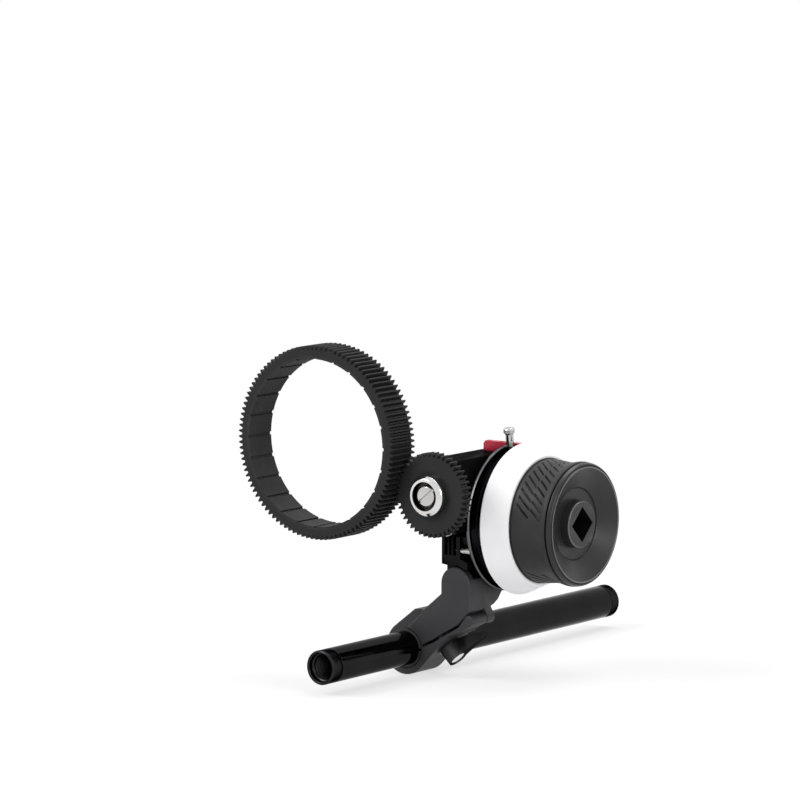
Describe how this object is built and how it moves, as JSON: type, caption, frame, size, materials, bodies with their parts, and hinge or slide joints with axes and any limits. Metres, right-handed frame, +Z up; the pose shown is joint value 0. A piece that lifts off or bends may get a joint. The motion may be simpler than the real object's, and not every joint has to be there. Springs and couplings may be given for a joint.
{
  "type": "follow focus unit",
  "caption": "Manual follow focus clamped on a 15 mm rod, with hand knob, marking disc, hard stops, drive gear and lens gear ring.",
  "frame": {"origin": "on the rod's axis at the middle of the clamp", "axes": "+X towards the hand knob, +Y back along the rod, +Z up"},
  "size_m": [0.1471, 0.216, 0.1445],
  "materials": {
    "black_anodised": "matte black anodised aluminium, fine bead-blasted",
    "dark_anodised": "black anodised with bright machined edges",
    "black_plastic": "moulded black plastic, matte",
    "knob_plastic": "smooth satin black plastic",
    "white_plastic": "matte white that takes a marker pen",
    "red_anodised": "satin red anodised",
    "polished_steel": "polished",
    "plain_steel": "ground steel",
    "black_steel": "black oxide",
    "gear_brass": "hobbed brass",
    "black_rubber": "matte rubber"
  },
  "bodies": {
    "rod": {"rod_tube": "black_anodised", "rod_end_fittings": "dark_anodised"},
    "liner": {"clamp_liner": "black_plastic"},
    "carriage": {"clamp_arm": "black_anodised", "jaw_hinge_pin": "plain_steel", "clamp_stud": "plain_steel", "arm_bolts": "black_steel", "gearbox_housing": "black_anodised", "gearbox_cover": "black_anodised", "cover_screws": "black_steel", "flange_plate": "dark_anodised", "flange_screws": "black_steel", "knob_bearings": "plain_steel", "layshaft_bearings": "plain_steel", "drive_shaft_bearings": "plain_steel", "idler_pin": "plain_steel", "bridge_screw": "polished_steel", "index_pointer": "red_anodised", "pointer_screws": "black_steel"},
    "jaw": {"clamp_jaw": "black_anodised"},
    "washer": {"thrust_washer": "plain_steel"},
    "lever": {"clamp_lever": "black_anodised", "lever_cap": "polished_steel"},
    "knob": {"knob_shaft": "plain_steel", "knob_bevel_gear": "gear_brass", "shaft_circlip": "plain_steel", "knob_hub": "black_plastic", "knob_grip": "knob_plastic", "knob_front": "knob_plastic", "socket_insert": "knob_plastic", "knob_screws": "black_steel", "disc_magnets": "plain_steel"},
    "stop_a": {"stop_ring_a": "black_anodised", "stop_pin_a": "polished_steel"},
    "stop_b": {"stop_ring_b": "black_anodised", "stop_pin_b": "polished_steel"},
    "marking_disc": {"marking_disc": "white_plastic"},
    "layshaft": {"layshaft": "plain_steel", "lay_bevel_gear": "gear_brass", "lay_spur_gear": "gear_brass"},
    "idler": {"idler_gear": "gear_brass"},
    "drive": {"drive_shaft": "plain_steel", "drive_pinion": "gear_brass", "drive_gear": "black_plastic", "gear_collar": "polished_steel", "gear_screw": "polished_steel"},
    "lens_ring": {"lens_gear_ring": "black_plastic", "ring_liner": "black_rubber"}
  },
  "joints": [
    {"name": "rod_slide", "type": "slide", "parent": "rod", "child": "liner", "axis": [0, 1, 0], "range_m": [-0.05, 0.12]},
    {"name": "swing", "type": "hinge", "parent": "liner", "child": "carriage", "pos_m": [0, 0, 0], "axis": [0, 1, 0], "range_deg": [0, 70]},
    {"name": "screw_travel", "type": "slide", "parent": "carriage", "child": "washer", "axis": [0.7193, 0, -0.6947], "range_m": [0, 0.00121]},
    {"name": "lever_turn", "type": "hinge", "parent": "washer", "child": "lever", "pos_m": [0.00938, 0, 0.00971], "axis": [0.7193, 0, -0.6947], "range_deg": [0, 540]},
    {"name": "jaw_open", "type": "hinge", "parent": "carriage", "child": "jaw", "pos_m": [0.0342, 0, 0.0152], "axis": [0, -1, 0], "range_deg": [0, 2.6]},
    {"name": "knob_spin", "type": "hinge", "parent": "carriage", "child": "knob", "pos_m": [0.05, 0.0215, 0.0575], "axis": [1, 0, 0], "range_deg": [0, 140]},
    {"name": "stop_a_set", "type": "hinge", "parent": "knob", "child": "stop_a", "pos_m": [0.038, 0.0215, 0.0575], "axis": [1, 0, 0], "range_deg": [0, 95]},
    {"name": "stop_b_set", "type": "hinge", "parent": "knob", "child": "stop_b", "pos_m": [0.041, 0.0215, 0.0575], "axis": [1, 0, 0], "range_deg": [-95, 0]},
    {"name": "disc_pull", "type": "slide", "parent": "knob", "child": "marking_disc", "axis": [1, 0, 0], "range_m": [0, 0.04]},
    {"name": "layshaft_spin", "type": "hinge", "parent": "carriage", "child": "layshaft", "pos_m": [0.0265, 0, 0.0575], "axis": [0, 1, 0], "range_deg": [0, 140]},
    {"name": "idler_spin", "type": "hinge", "parent": "carriage", "child": "idler", "pos_m": [0.0265, 0, 0.0645], "axis": [0, 1, 0], "range_deg": [-187, 0]},
    {"name": "drive_spin", "type": "hinge", "parent": "carriage", "child": "drive", "pos_m": [0.0265, 0, 0.0715], "axis": [0, 1, 0], "range_deg": [0, 140]},
    {"name": "ring_spin", "type": "hinge", "parent": "rod", "child": "lens_ring", "pos_m": [-0.02969, 0, 0.0905], "axis": [0, 1, 0], "range_deg": [-61, 0]}
  ],
  "couplings": [
    {"joint": "screw_travel", "follows": "lever_turn", "m_per_rad": 0.00012732},
    {"joint": "jaw_open", "follows": "lever_turn", "ratio": 0.0046296},
    {"joint": "layshaft_spin", "follows": "knob_spin", "ratio": 1},
    {"joint": "idler_spin", "follows": "knob_spin", "ratio": -1.3333},
    {"joint": "drive_spin", "follows": "knob_spin", "ratio": 1},
    {"joint": "ring_spin", "follows": "knob_spin", "ratio": -0.42308}
  ]
}
